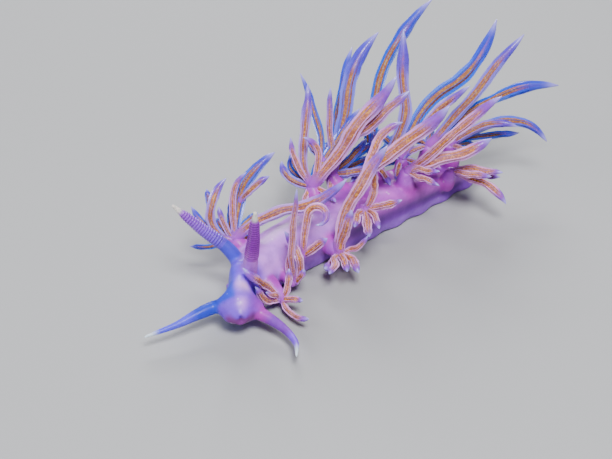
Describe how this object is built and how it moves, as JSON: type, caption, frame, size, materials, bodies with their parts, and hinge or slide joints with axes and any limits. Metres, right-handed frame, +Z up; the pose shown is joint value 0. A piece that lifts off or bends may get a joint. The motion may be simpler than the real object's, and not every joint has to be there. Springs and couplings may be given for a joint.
{
  "type": "nudibranch",
  "caption": "Violet aeolid sea slug crawling on a level floor, head turned to its left, with long oral tentacles, ringed rhinophores and clusters of finger-like cerata.",
  "frame": {"origin": "on the floor plane, on the flat sole of the foot under the middle of the trunk", "axes": "+Z up, the animal faces -X, its left side is towards -Y, its tail points along +X"},
  "size_m": [0.0635, 0.0317, 0.0227],
  "materials": {
    "head_flesh": "wet translucent pink-lilac flesh",
    "trunk_flesh": "wet translucent lilac to magenta flesh",
    "tail_flesh": "wet translucent violet flesh",
    "tentacle_flesh": "wet blue-violet flesh with white tips",
    "rhinophore_flesh": "wet magenta-violet ringed flesh with cream tips",
    "cerata_flesh": "wet lilac flesh with an orange core showing through"
  },
  "bodies": {
    "root": {"head": "head_flesh", "oral_tentacle_left": "tentacle_flesh", "oral_tentacle_right": "tentacle_flesh", "rhinophore_left": "rhinophore_flesh", "rhinophore_right": "rhinophore_flesh", "trunk_front": "trunk_flesh", "trunk_middle": "trunk_flesh", "trunk_rear": "trunk_flesh", "tail": "tail_flesh", "foot_corner_left": "trunk_flesh", "foot_corner_right": "trunk_flesh", "cerata_left_1": "cerata_flesh", "cerata_left_2": "cerata_flesh", "cerata_left_3": "cerata_flesh", "cerata_left_4": "cerata_flesh", "cerata_left_5": "cerata_flesh", "cerata_left_6": "cerata_flesh", "cerata_left_7": "cerata_flesh", "cerata_left_8": "cerata_flesh", "cerata_right_1": "cerata_flesh", "cerata_right_2": "cerata_flesh", "cerata_right_3": "cerata_flesh", "cerata_right_4": "cerata_flesh", "cerata_right_5": "cerata_flesh", "cerata_right_6": "cerata_flesh", "cerata_right_7": "cerata_flesh"}
  },
  "joints": []
}
